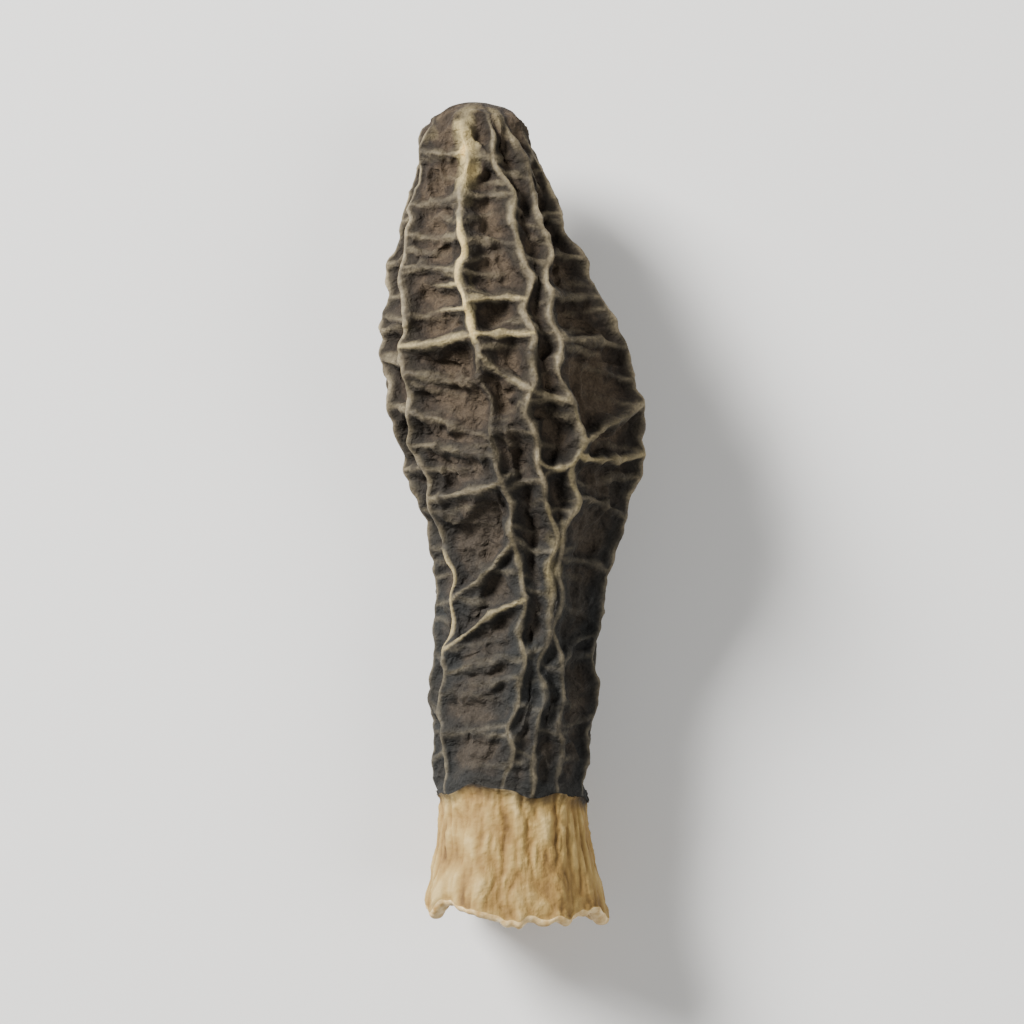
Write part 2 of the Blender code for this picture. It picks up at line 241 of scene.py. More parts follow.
def held_at_ends(down):
    """1 along most of a rib, falling to 0 at the tip and at the edge of the cap, where ribs hold still."""
    return np.clip(down / 3, 0, 1) * np.clip((CAP_LENGTH - down) / 2, 0, 1)


def rib_sway(rib, down):
    """How far a rib sways sideways, in mm: two sines, held still at both ends."""
    phases = np.random.default_rng(SEED + 100 + rib).uniform(0, 2 * math.pi, len(RIB_SWAY))
    sway = sum(far * np.sin(2 * math.pi * down / mm + p) for (far, mm), p in zip(RIB_SWAY, phases))
    return held_at_ends(down) * sway


def rib_angle(rib, down):
    """Angle of a rib: read off, or a middle angle with a slow and a quick turn, and then its own sway."""
    if rib < len(SEEN_RIBS):
        table = np.stack([RIB_STATIONS, SEEN_RIBS[rib]], axis=-1)
        degrees = through(table, 1, down)
    else:
        under = rib - len(SEEN_RIBS)
        terms = zip(WANDER_DEG, WANDER_MM, rib_phases[under])
        degrees = UNDER_RIBS[under] + sum(
            turn * np.sin(2 * math.pi * down / length + phase) for turn, length, phase in terms
        )
    return np.radians(degrees) + rib_sway(rib, down) / np.maximum(crest_radius(down), 0.5)


def rib_strength(rib, down):
    """Share of its height that a rib keeps: all but what its faint stretches take, with ends 1 mm long."""
    lost = [
        share * np.clip(down - start, 0, 1) * np.clip(end - down, 0, 1)
        for number, start, end, share in FAINT_STRETCHES if number == rib
    ]
    return 1 - sum(lost, np.zeros_like(down))


def cross_rib_table():
    """The cross-ribs of every column of pits, the hidden ones spaced and slanted at random."""
    chance = np.random.default_rng(SEED + 1)
    columns = [list(seen) for seen in SEEN_CROSS_RIBS]
    while len(columns) < PITS_ROUND:
        down = chance.uniform(*UNDER_START)
        column = []
        while down < CAP_LENGTH - UNDER_ROOM:
            slant = chance.uniform(-UNDER_SLANT, UNDER_SLANT) / 2
            column.append((down - slant, down + slant, chance.uniform(*UNDER_SHARE)))
            down += chance.uniform(*UNDER_SPACING)
        columns.append(column)
    return [np.array(column) for column in columns]


CROSS_RIBS = cross_rib_table()
print(PITS_ROUND, "ribs and", sum(len(column) for column in CROSS_RIBS), "cross-ribs")

# %% [markdown]
# Nothing dried is regular. All the unevenness comes from one function, a gradient noise: a random slope at
# every corner of a lattice, blended smoothly in between. Folded at zero it gives sharp creases, as crumpled
# paper has, and that is what shrunken skin looks like. Each use of it has a seed of its own, the last number
# in its call, so that no two patterns are alike.

# %% Noise for creases and wobbles
LATTICE = 32  # the pattern repeats after this many cells


def crumple(points, size, seed):
    """Gradient noise, about -1 to 1: the blend, over the corners of a cell, of slope times offset."""
    slopes = np.random.default_rng(seed).normal(size=(LATTICE, LATTICE, LATTICE, 3))
    slopes /= np.linalg.norm(slopes, axis=-1, keepdims=True)
    cell = np.asarray(points) / size
    low = np.floor(cell).astype(int)
    part = cell - low
    ease = part**3 * (part * (part * 6 - 15) + 10)
    total = np.zeros(cell.shape[:-1])
    for corner in np.ndindex(2, 2, 2):
        at = (low + corner) % LATTICE
        slope = slopes[at[..., 0], at[..., 1], at[..., 2]]
        weight = np.prod(np.where(corner, ease, 1 - ease), axis=-1)
        total += weight * np.sum(slope * (part - corner), axis=-1)
    return total * 1.6


def creased(points, size, seed):
    """Creases: 1 on sharp lines where the noise crosses zero, falling to about 0 between them."""
    return 1 - np.minimum(np.abs(crumple(points, size, seed)) * 1.8, 1)


def along_rib(rib, down, size, seed):
    """The same noise along one line, for how a rib wobbles on its way down."""
    line = np.stack([down, np.full_like(down, 9.1 * rib), np.zeros_like(down)], axis=-1)
    return crumple(line, size, seed + rib)


sample = crumple(np.random.default_rng(1).uniform(0, 9, (500, 3)), 1.0, 1)
print("noise spans", round(float(sample.min()), 2), "to", round(float(sample.max()), 2))

# %% [markdown]
# The skin is one grid of points. Its columns run down the ribs and crowd together near the crests, and its
# rows are pulled so that one lies along each cross-rib, bow and all. A grid that follows the folds draws them
# sharply with few points, where a plain grid would leave a staircase. Wide pits get more columns than narrow
# ones.

# %% Grid that follows the folds
GRID_COLUMNS = 288
DOME_ROWS = 24
CAP_GRID_ROWS = 250
CROWDING = 0.35  # 0 is even spacing, and near 1 the columns would pile up on the crests
CLEAR_ROWS = 6  # at least so many rows from one cross-rib to the next
CROSS_RIB_BOW = 0.30  # mm, how far the middle of a cross-rib may stray up or down the cap

grid_rows = np.arange(CAP_GRID_ROWS)
dome_part = np.minimum(grid_rows / DOME_ROWS, 1)
below_part = np.maximum(grid_rows - DOME_ROWS, 0) / (CAP_GRID_ROWS - 1 - DOME_ROWS)
plain_down = DOME * (1 - np.cos(math.pi / 2 * dome_part)) + below_part * (CAP_LENGTH - DOME)

half_way = [math.degrees(rib_angle(rib, np.array(12.0))) % 360 for rib in range(PITS_ROUND)]
pit_widths = [(half_way[(pit + 1) % PITS_ROUND] - half_way[pit]) % 360 for pit in range(PITS_ROUND)]
pit_columns = [2 * max(7, round(GRID_COLUMNS * width / 720)) for width in pit_widths]
CROSS_BOWS = [
    np.random.default_rng(SEED + 30 + pit).uniform(-CROSS_RIB_BOW, CROSS_RIB_BOW, len(CROSS_RIBS[pit]))
    for pit in range(PITS_ROUND)
]


def across_pit(pit):
    """Places across a pit, 0 at its right rib and 1 at its left one: even steps, drawn towards the ribs."""
    even = np.arange(pit_columns[pit]) / pit_columns[pit]
    return even - CROWDING * np.sin(2 * math.pi * even) / (2 * math.pi)


def arch(across):
    """0 at both ribs and 1 halfway between them."""
    return 4 * across * (1 - across)


def pulled_rows(pit, across):
    """Distances from the tip, rows by columns: even rows, shifted between cross-ribs by straight blends."""
    knots, moves, last = [0], [(0.0, 0.0, 0.0)], 0
    for (right, left, _), bow in zip(CROSS_RIBS[pit], CROSS_BOWS[pit]):
        nearest = int(np.argmin(np.abs(plain_down - (right + left) / 2)))
        last = max(nearest, last + CLEAR_ROWS)
        knots.append(last)
        moves.append((right - plain_down[last], left - right, bow))
    knots.append(CAP_GRID_ROWS - 1)
    moves.append((0.0, 0.0, 0.0))
    shift, slant, bow = (np.interp(grid_rows, knots, column)[:, None] for column in zip(*moves))
    across = np.atleast_1d(across)[None, :]
    return plain_down[:, None] + shift + slant * across + bow * arch(across)


def cap_rows(pit):
    """The rows of one column of pits. At its edges they meet the rows of the pits on both sides halfway."""
    before, after = (pit - 1) % PITS_ROUND, (pit + 1) % PITS_ROUND
    across = across_pit(pit)
    right_change = (pulled_rows(before, 1) - pulled_rows(pit, 0)) / 2
    left_change = (pulled_rows(after, 0) - pulled_rows(pit, 1)) / 2
    towards_right = np.maximum(1 - 2 * across, 0) ** 2
    towards_left = np.maximum(2 * across - 1, 0) ** 2
    return pulled_rows(pit, across) + right_change * towards_right + left_change * towards_left


print("grid of the cap:", CAP_GRID_ROWS, "rows, columns of each pit", pit_columns)

# %% [markdown]
# A rib is a thin fold that stands up from the flesh. In section it has a narrow crest, steep sides and a
# spreading foot, so two bell curves are added, a thin one and a broad one. A crest peaks where a cross-rib
# meets it and sags between, like cloth between poles. A brush could carve all this by hand, but a formula
# treats every rib alike.

# %% Section and height of a rib
RIB_HALF = 0.20  # mm from the crest to where a rib is half as high
CREST_SAG = 0.22  # share of its height that a crest loses between cross-ribs
CREST_WAVE = 0.10  # mm that a crest rises and falls
CREST_NICKS = 0.08


def ridge(distance, half):
    """Section of a rib: a thin crest, half as high at half, on a foot that is 2.6 times as wide."""
    crest = 1 / (1 + (np.abs(distance) / half) ** 2.6)
    foot = 1 / (1 + (np.abs(distance) / (2.6 * half)) ** 3)
    return 0.62 * crest + 0.38 * foot


def edge_line(distance, half):
    """How near a point is to the very edge of a fold: 1 on it, a half at 0.55 of half, 0 past it."""
    return 1 / (1 + (np.abs(distance) / (0.55 * half)) ** 5)


def peak_height(rib, down):
    """Height of a crest: full where a cross-rib of either side meets it, sagging by a bell curve between."""
    meets = np.concatenate([CROSS_RIBS[rib][:, 0], CROSS_RIBS[rib - 1][:, 1]])
    nearest = np.min(np.abs(down[..., None] - meets), axis=-1)
    return rib_strength(rib, down) * (1 - CREST_SAG * (1 - np.exp(-((nearest / 0.55) ** 2))))


def crest_wave(rib, down):
    """How far a crest rises and falls, in mm: a slow sine, and small nicks from the noise."""
    return CREST_WAVE * np.sin(1.9 * down + 2.4 * rib) + CREST_NICKS * along_rib(rib, down, 0.6, 90)


print("between cross-ribs a crest keeps", 1 - CREST_SAG, "of its height")

# %% [markdown]
# Short spurs run out from the ribs into the pits and fade away, and on some folds the dark skin has worn off.
# What the photograph shows of both is listed, because the eye goes there first. The other spurs are
# spaced at random with a fixed seed, so that every run draws the same ones.

# %% Spurs and worn folds
CROSS_RIB_HALF = 0.17
SPUR_HALF = 0.15
SPUR_SPACING = (0.7, 1.9)
# Spurs that the photograph shows, for each pit: right place, left place, height at the right and at the left
SEEN_SPURS = {3: ((8.2, 7.9, 0.7, 0.0), (9.0, 8.6, 0.9, 0.0), (10.1, 9.9, 1.0, 0.0))}
# Worn ribs: which rib, from, to, how much
PALE_RIBS = (
    (3, 5.6, 11.9, 0.95),
    (4, 20.6, 26.0, 0.58),
    (2, 18.6, 23.6, 0.36),
    (1, 14.3, 20.0, 0.35),
    (3, 19.5, 27.0, 0.22),
    (4, 10.0, 14.0, 0.2),
    (2, 3.0, 8.0, 0.25),
)
# Worn cross-ribs and spurs: for each pit, which fold and how much
PALE_FOLDS = {
    0: {5: 0.35, 6: 0.6},
    1: {3: 0.3, 4: 0.5},
    2: {3: 0.65, 4: 0.75, 5: 0.4},
    3: {4: 0.7, 8: 0.2, 9: 0.3, 10: 0.5, 11: 0.3, 13: 0.5, 14: 0.8, 15: 0.8},
}


def pale_along(rib, down):
    """How worn a rib is at each place: each worn stretch's share, with ends half a millimetre long."""
    stretches = [
        share * np.clip((down - start) / 0.5, 0, 1) * np.clip((end - down) / 0.5, 0, 1)
        for number, start, end, share in PALE_RIBS if number == rib
    ]
    return sum(stretches, np.zeros_like(down))


def fold_table(pit):
    """Cross-ribs and spurs: right place, left place, bow, height at the right, height at the left, half."""
    rows = [
        (right, left, bow, share, share, CROSS_RIB_HALF)
        for (right, left, share), bow in zip(CROSS_RIBS[pit], CROSS_BOWS[pit])
    ]
    rows += [(right, left, 0.1, *heights, SPUR_HALF) for right, left, *heights in SEEN_SPURS.get(pit, ())]
    chance = np.random.default_rng(SEED + 60 + pit)
    down = chance.uniform(1.5, 3.0)
    while down < CAP_LENGTH - 1.0:
        slope = chance.uniform(-0.9, 0.9)
        height = chance.uniform(0.35, 0.75)
        heights = (height, 0.0) if chance.random() < 0.5 else (0.0, height)
        rows.append((down, down + slope, chance.uniform(-0.3, 0.3), *heights, SPUR_HALF))
        down += chance.uniform(*SPUR_SPACING)
    return rows


print("folds in each column of pits", [len(fold_table(pit)) for pit in range(PITS_ROUND)])

# %% [markdown]
# A dried rib strays, leans over and changes its thickness on its way down. It has a pit on each side, and
# what moves it is worked out from numbers that both pits share, or the skin would have a step along the
# crest. Where ribs run close together they stray less, so that they never cross, and narrow pits are
# shallower.

# %% Stray, lean and thickness of the ribs
WOBBLES = ((0.13, 1.5), (0.07, 0.7))  # how far a crest strays sideways, and over what length, in mm
LEAN = 0.28  # mm at the crest, dying away over the reach
LEAN_REACH = 0.32
CLOSE_RIBS = 1.5  # mm; ribs closer together than this stray and lean less
NARROW_PIT = 1.8  # mm; a pit narrower than this is shallower
SLENDER_BELOW = 4.8  # mm; where the cap's radius is smaller than this, its ribs are thinner
LEAST_RADIUS = 0.2  # mm, so that nothing is divided by nought at the tip


def pit_width(pit, down):
    """Width of a column of pits from rib to rib, in mm: the turn between them times the radius."""
    after = (pit + 1) % PITS_ROUND
    turn = rib_angle(after, down) - rib_angle(pit, down) + (2 * math.pi if after == 0 else 0)
    return turn * np.maximum(crest_radius(down), LEAST_RADIUS)


def narrower_side(rib, down):
    """Width of the narrower of the two pits that share a rib."""
    return np.minimum(pit_width(rib, down), pit_width((rib - 1) % PITS_ROUND, down))


def sideways_shift(rib, down, distance, share):
    """How far the skin near a rib shifts sideways, in mm: the rib's stray, and its lean near the crest."""
    free = held_at_ends(down) * np.clip(narrower_side(rib, down) / CLOSE_RIBS, 0, 1) ** 1.5
    stray = sum(size * along_rib(rib, down, length, 20) for size, length in WOBBLES)
    lean = LEAN * along_rib(rib, down, 3.0, 50) * np.exp(-((distance / LEAN_REACH) ** 2))
    return free * (stray * share**2 + lean)


def rib_side(rib, down, distance):
    """One side of a rib, thicker and thinner by turns: its height, its edge line, and how worn that is."""
    slender = np.clip(crest_radius(down) / SLENDER_BELOW, 0.6, 1)
    half = RIB_HALF * slender * (1 + 0.3 * along_rib(rib, down, 1.4, 110))
    edge = edge_line(distance, half) * rib_strength(rib, down)
    return ridge(distance, half) * peak_height(rib, down), edge, edge * pale_along(rib, down)


def share_of_depth(pit, down, across):
    """Share of its depth that a narrow pit keeps. At a rib it is the share of the narrower pit there."""
    shallow = np.clip(pit_width(pit, down) / NARROW_PIT, 0.25, 1)
    for rib, towards in ((pit, 1 - 2 * across), ((pit + 1) % PITS_ROUND, 2 * across - 1)):
        at_rib = np.clip(narrower_side(rib, down) / NARROW_PIT, 0.25, 1)
        shallow = shallow + (at_rib - shallow) * np.maximum(towards, 0) ** 2
    return shallow


widths = np.array([pit_width(pit, plain_down[DOME_ROWS:]) for pit in range(PITS_ROUND)])
print("pits are", round(float(widths.min()), 2), "to", round(float(widths.max()), 2), "mm wide")

# %% [markdown]
# Between the ribs the skin hangs in like cloth, deepest in the middle of each pit. A whole column of pits is
# worked out at once: the body's radius, the net of folds on it, and how far the skin sinks between them. The
# net dies away over the very tip, where twelve ribs would otherwise meet in a star.

# %% Columns of pits
DEEPER = 1.3  # the real pits are undercut, which the solid leaves out
CAP_LOBES = ((2, 0.0, 0.030), (3, 1.1, 0.016))  # how many times round, phase, share of the radius
CAP_SWELLS = 0.16  # mm
FOLD_WAVER = 0.12  # mm that a cross-rib or a spur strays up and down the cap
CLEAR_CREST = 0.08  # mm beside a rib's crest where its cross-ribs begin
MARGIN_RIB = 31.75  # the net ends in a rib round the edge of the cap
MARGIN_WAVES = ((2, 0.5, 0.24), (5, 1.0, 0.17), (11, 0.0, 0.08))  # how many times round, phase, mm
WAVY_FROM = 27.0  # mm from the tip
TIP_FADE = 2.0  # mm over which the net dies away towards the very tip
TIP_CREST = 0.3  # the tip itself counts as so much crest, and the rest of it as pit


def waves(angle, terms):
    """The sum of sines round the section, each (how many times round, phase, size)."""
    return sum(size * np.sin(times * angle + phase) for times, phase, size in terms)


def net_of_folds(pit, down, across, to_right, to_left, flat):
    """Share of the depth that the folds leave, and how near and how worn the edge of a fold is at each point.
    Each fold multiplies what is left by 1 less its height. A spur's height falls to 0 at its far end."""
    after = (pit + 1) % PITS_ROUND
    both_sides = zip(rib_side(pit, down, to_right), rib_side(after, down, to_left))
    rib_height, edge, pale = (np.maximum(right, left) for right, left in both_sides)
    hollow = 1 - rib_height
    faint_right, faint_left = 1 - rib_strength(pit, down), 1 - rib_strength(after, down)
    kept = 1 - faint_right * (1 - across) ** 2 - faint_left * across**2
    waver = FOLD_WAVER * crumple(flat, 0.9, 70 + pit)
    off_crest = 1 - np.exp(-((np.minimum(to_right, to_left) / CLEAR_CREST) ** 2))
    for fold, (start, end, bow, high_right, high_left, half) in enumerate(fold_table(pit)):
        place = start + (end - start) * across + bow * arch(across)
        away = down - place - waver
        if 0.0 in (high_right, high_left):
            height = (high_right * (1 - across) ** 1.5 + high_left * across**1.5) * kept
        else:
            height = high_right * (1 - 0.25 * arch(across)) * kept
        hollow = hollow * (1 - height * off_crest * ridge(away, half))
        fold_edge = edge_line(away, half) * height
        edge = np.maximum(edge, fold_edge)
        pale = np.maximum(pale, fold_edge * PALE_FOLDS.get(pit, {}).get(fold, 0.0))
    hollow = hollow * (1 - 0.8 * ridge(np.minimum(down, MARGIN_RIB) - MARGIN_RIB, 0.2))
    return hollow, edge, pale


def cap_block(pit):
    """One column of pits: angle, distance from the tip and radius of its grid points, and how much crest,
    edge, depth and wear there is. The radius is the body's, raised at the crests and sunk between them."""
    after = (pit + 1) % PITS_ROUND
    down = cap_rows(pit)
    across = np.broadcast_to(across_pit(pit), down.shape)
    width = pit_width(pit, down)
    to_right, to_left = across * width, (1 - across) * width
    shift = sideways_shift(pit, down, to_right, 1 - across) + sideways_shift(after, down, to_left, across)
    angle = rib_angle(pit, down) + (to_right + shift) / np.maximum(crest_radius(down), LEAST_RADIUS)
    flat = np.stack([down, 4 * np.cos(angle), 4 * np.sin(angle)], axis=-1)
    hollow, edge, pale = net_of_folds(pit, down, across, to_right, to_left, flat)

    wave_right, wave_left = crest_wave(pit, down), crest_wave(after, down)
    wave = wave_right + (wave_left - wave_right) * across**2 * (3 - 2 * across)
    bowl = 0.70 + 0.30 * arch(across) ** 0.7
    uneven = 1 + 0.30 * crumple(flat, 2.3, 40)
    shallow = share_of_depth(pit, down, across)
    sinking = DEEPER * through(CAP_STATIONS, 2, down) * shallow * hollow * bowl * uneven
    closing = np.minimum(down / DOME, 1)
    body = crest_radius(down) * (1 + waves(angle, CAP_LOBES)) + CAP_SWELLS * crumple(flat, 3.6, 41) * closing
    past_tip = np.clip((down - 0.3) / TIP_FADE, 0, 1)
    radius = body + (wave * (1 - hollow) - sinking) * closing * (0.4 + 0.6 * past_tip)
    near_margin = np.clip((down - WAVY_FROM) / (CAP_LENGTH - WAVY_FROM), 0, 1) ** 2
    end = down + waves(angle, MARGIN_WAVES) * near_margin
    crest_here = past_tip * (1 - hollow) + (1 - past_tip) * TIP_CREST
    depth = past_tip * hollow * bowl + (1 - past_tip) * (1 - TIP_CREST)
    return angle, end, radius, crest_here, edge * past_tip, depth, pale * past_tip


blocks = [cap_block(pit) for pit in range(PITS_ROUND)]
cap_angle, cap_down, cap_radius, cap_crest, cap_edge, cap_depth, cap_pale = [
    np.concatenate(parts, axis=1) for parts in zip(*blocks)
]
print("pits reach", round(float((crest_radius(cap_down) - cap_radius).max()), 2), "mm below the crests")

# %% [markdown]
# The stem is only a stub here, because it was cut before drying. Its skin has shrunk into lengthwise pleats,
# and the cut end has curled outwards and gone wavy. The hollow could be a second surface, but then the two
# would have to be joined along the torn cut. Instead the grid turns over the rim and runs back up inside, so
# the hollow is part of the same skin and there is no edge to see through.

# %% Stem, rim and hollow
STEM_PLEATS = ((3, 1.0, 0.045), (7, 0.4, 0.030), (12, 2.1, 0.022))  # times round, phase, share of radius
CUT_WAVES = ((1, 0.6, 0.45), (4, 2.0, 0.20), (7, 0.5, 0.12))  # times round, phase, mm
TORN_FROM = 34.5  # mm from the tip, where the cut's ragged edge begins to show
STEM_STEPS, RIM_STEPS, HOLLOW_STEPS = 44, 12, 32
AT_CAP, AT_RIM, AT_HOLLOW, AT_END = 57, 64, 67, 78  # places along the outlines where each stretch starts

stem_places = np.concatenate([
    np.linspace(AT_CAP, AT_RIM, STEM_STEPS, endpoint=False)[1:],
    np.linspace(AT_RIM, AT_HOLLOW, RIM_STEPS, endpoint=False),
])
hollow_places = np.linspace(AT_HOLLOW, AT_END, HOLLOW_STEPS)
stem_angle = cap_angle[-1]  # each column keeps the angle that it has at the cap's edge


def torn(angle, down):
    """How far the cut strays along the stem, in mm: noise round the rim, sharper than the smooth waves."""
    ring = np.stack([4 * np.cos(angle), 4 * np.sin(angle), np.zeros_like(angle)], axis=-1)
    near_cut = np.clip((down - TORN_FROM) / 2.5, 0, 1) ** 2
    return near_cut * (0.32 * crumple(ring, 1.1, 31) + 0.14 * crumple(ring, 0.45, 32))


def below_cap(places, outline):
    """Rows below the cap: the outline's radius, pleated more and more towards the wavy cut."""
    down = through(outline, 1, places)[:, None]
    radius = through(outline, 2, places)[:, None]
    angle = np.broadcast_to(stem_angle, (len(places), len(stem_angle)))
    on_stem = np.clip((down - CAP_LENGTH) / (CUT_AT - CAP_LENGTH), 0, 1)
    lobes = waves(angle, CAP_LOBES) * (1 - on_stem) + waves(angle, STEM_PLEATS) * on_stem
    uneven = waves(angle, CUT_WAVES) * on_stem**2 + waves(angle, MARGIN_WAVES) * (1 - on_stem) ** 3
    return angle, down + uneven + torn(angle, down), radius * (1 + lobes)


def section_points(angle, down, radius, sideways, height):
    """Points round a centre: a little flattened circle of that radius, with the tip towards +Y."""
    x = sideways + radius * np.cos(angle) - MIDDLE[0]
    z = height + radius * np.sin(angle) * SECTION_FLATNESS
    return np.stack([x, MIDDLE[1] - down, z], axis=-1)


def on_centre_line(angle, down, radius):
    """The same about the mushroom's own bent centre line."""
    sideways, height = through(CENTRE_STATIONS, 1, down), through(CENTRE_STATIONS, 2, down)
    return section_points(angle, down, radius, sideways, height)


stem_rows = below_cap(stem_places, STEM_OUTLINE)
hollow_rows = below_cap(hollow_places, HOLLOW_OUTLINE)
hollow_centre = [through(HOLLOW_OUTLINE, number, hollow_places)[:, None] for number in (3, 4)]
skin = np.concatenate([
    on_centre_line(cap_angle, cap_down, cap_radius),
    on_centre_line(*stem_rows),
    section_points(*hollow_rows, *hollow_centre),
])
ROWS, COLUMNS = skin.shape[:2]
print("whole skin:", ROWS, "rows,", COLUMNS, "columns,", 2 * COLUMNS * (ROWS - 2), "triangles")

# %% [markdown]
# A morel has no seams, but its parts look different: dark crests and pits, a pale stem, bare flesh at the
# cut, a brown lining. The parts could be separate objects. Numbers on one skin let them flow into each other
# instead: each says how much of one part there is at a point. They steer the fine wrinkles now, and the
# colours later.

# %% Where each kind of skin is
CUT_ROWS_INSIDE = 3  # the bare flesh of the cut reaches so many rows into the hollow
CAP_END = CAP_GRID_ROWS
RIM_START = CAP_END + STEM_STEPS - 1
LINING_START = RIM_START + RIM_STEPS + CUT_ROWS_INSIDE


def on_cap(values):
    """The cap's grid of values as a grid for the whole skin, 0 below the cap."""
    grid = np.zeros((ROWS, COLUMNS))
    grid[:CAP_END] = values
    return grid


crest, edge, pit_depth, pale = [on_cap(values) for values in (cap_crest, cap_edge, cap_depth, cap_pale)]
row_number = np.arange(ROWS)[:, None] * np.ones(COLUMNS)
is_cap = (row_number < CAP_END).astype(float)
is_stem = ((row_number >= CAP_END) & (row_number < RIM_START)).astype(float)
is_rim = ((row_number >= RIM_START) & (row_number < LINING_START)).astype(float)
is_hollow = (row_number >= LINING_START).astype(float)
all_angles = np.concatenate([cap_angle, stem_rows[0], hollow_rows[0]])
all_down = np.concatenate([cap_down, stem_rows[1], hollow_rows[1]])
unbent = np.stack([4 * np.cos(all_angles), 4 * np.sin(all_angles), all_down], axis=-1)
print("points of cap, stem, rim, hollow:", [int(part.sum()) for part in (is_cap, is_stem, is_rim, is_hollow)])

# %% [markdown]
# Shrunken skin is finely wrinkled everywhere. A bump in the material would shade such wrinkles, but their
# outline would stay smooth, so the larger ones are real: they push each point along its own normal. On the
# cap they are creases of two sizes, deepest on the floors of the pits. On the stem they are long furrows and
# mealy grains, as on a real morel's stem.

# %% Wrinkles along the normal
VEINS, CREASES = 0.34, 0.13  # mm
FURROWS, FINE_FURROWS, DENTS, GRAINS = 0.13, 0.07, 0.12, 0.07  # mm
FULL_WRINKLES = 1.7  # mm from the tip to where the wrinkles have their full height
EDGE_ROWS = 5  # over so many rows they fade away towards the cap's edge
POLE_ROWS = 8  # and over so many towards the end of the hollow


def outward(points):
    """Normals of the grid: the cross product of the steps to the next row and to the next column."""
    down_step = np.gradient(points, axis=0)
    round_step = np.roll(points, -1, axis=1) - np.roll(points, 1, axis=1)
    normal = np.cross(round_step, down_step)
    length = np.linalg.norm(normal, axis=-1, keepdims=True)
    return normal / np.maximum(length, 1e-9)


def cap_wrinkles(points):
    """Veins 2 mm apart, creases 1 mm apart and grain, all warped by a slower noise, weaker on the crests."""
    warped = points + 0.45 * crumple(points, 1.7, 11)[..., None]
    veins = np.maximum(1 - 3.2 * np.abs(crumple(warped, 1.9, 12)), 0) ** 1.3
    creases = creased(warped, 0.8, 13) - 0.45
    in_pit = (1 - crest) ** 0.7
    grain = (0.01 + 0.02 * in_pit) * crumple(points, 0.3, 14)
    return in_pit * (VEINS * veins + CREASES * creases) + grain


def stem_wrinkles(points):
    """Furrows stretched along the stem, dents across them, and mealy grains 0.3 mm across."""
    bent = unbent + 0.35 * crumple(unbent, 1.8, 21)[..., None]
    furrows = creased(bent * (1.0, 1.0, 0.25), 0.95, 22) - 0.4
    fine = creased(bent * (1.0, 1.0, 0.3), 0.42, 24) - 0.4
    dents = crumple(unbent, 1.3, 25)
    grains = np.maximum(crumple(points, 0.30, 23), 0)
    return -FURROWS * furrows - FINE_FURROWS * fine + DENTS * dents + GRAINS * grains


closing = np.minimum(np.clip(all_down / FULL_WRINKLES, 0, 1) ** 0.7, (ROWS - 1 - row_number) / POLE_ROWS)
off_edge = np.clip((CAP_END - 1 - row_number) / EDGE_ROWS, 0, 1)
wrinkles = closing * (
    is_cap * off_edge * cap_wrinkles(skin)
    + (is_stem + 0.6 * is_hollow + 0.35 * is_rim) * stem_wrinkles(skin)
)
skin = skin + outward(skin) * wrinkles[..., None]
skin[..., 2] = np.maximum(skin[..., 2], 0.0)
print("wrinkles from", round(float(wrinkles.min()), 2), "to", round(float(wrinkles.max()), 2), "mm")

# %% [markdown]
# The grid becomes a closed mesh, as the flesh has no open edge. Blender could be given squares, but the four
# corners of a bent square don't lie in a plane. Each is split along its shorter diagonal, which keeps the
# crests from looking sawn. The first and last rows shrink to one point each, the two poles.

# %% Mesh from the grid


def at_vertices(grid):
    """A grid of values or places as the mesh's vertices take them: the mean of the row at each pole."""
    between = grid[1:-1].reshape(-1, *grid.shape[2:])
    return np.concatenate([grid[:1].mean(axis=1), between, grid[-1:].mean(axis=1)])


def grid_triangles(points):
    """Vertices and triangles of the closed grid: pole, rows between the poles, pole."""
    rows, columns = points.shape[:2]
    vertices = at_vertices(points)
    number = 1 + np.arange((rows - 2) * columns).reshape(rows - 2, columns)
    a, b = number[:-1], number[1:]
    a_next, b_next = np.roll(a, -1, axis=1), np.roll(b, -1, axis=1)
    first = np.linalg.norm(vertices[a] - vertices[b_next], axis=-1)
    second = np.linalg.norm(vertices[b] - vertices[a_next], axis=-1)
    split = (first < second)[..., None]
    upper = np.where(split, np.stack([a, b, b_next], -1), np.stack([a, b, a_next], -1))
    lower = np.where(split, np.stack([a, b_next, a_next], -1), np.stack([a_next, b, b_next], -1))
    top, bottom = number[0], number[-1]
    first_fan = np.stack([np.zeros(columns, int), top, np.roll(top, -1)], -1)
    last_pole = np.full(columns, len(vertices) - 1)
    last_fan = np.stack([bottom, last_pole, np.roll(bottom, -1)], -1)
    triangles = np.concatenate([first_fan, upper.reshape(-1, 3), lower.reshape(-1, 3), last_fan])
    return vertices, triangles


def signed_volume(vertices, triangles):
    """Volume, positive when the faces point outwards: a sixth of the sum of the corners' triple products."""
    a, b, c = (vertices[triangles[:, n]] for n in range(3))
    return float(np.einsum("ij,ij->", a, np.cross(b, c))) / 6


def mesh_of(name, vertices, triangles):
    """A smooth mesh in metres. Each triangle's list of corners starts 3 places after the one before."""
    mesh = bpy.data.meshes.new(name)
    mesh.vertices.add(len(vertices))
    mesh.vertices.foreach_set("co", (vertices * MM).ravel())
    mesh.loops.add(triangles.size)
    mesh.loops.foreach_set("vertex_index", triangles.ravel())
    mesh.polygons.add(len(triangles))
    mesh.polygons.foreach_set("loop_start", np.arange(0, triangles.size, 3))
    mesh.update(calc_edges=True)
    mesh.shade_smooth()
    return mesh


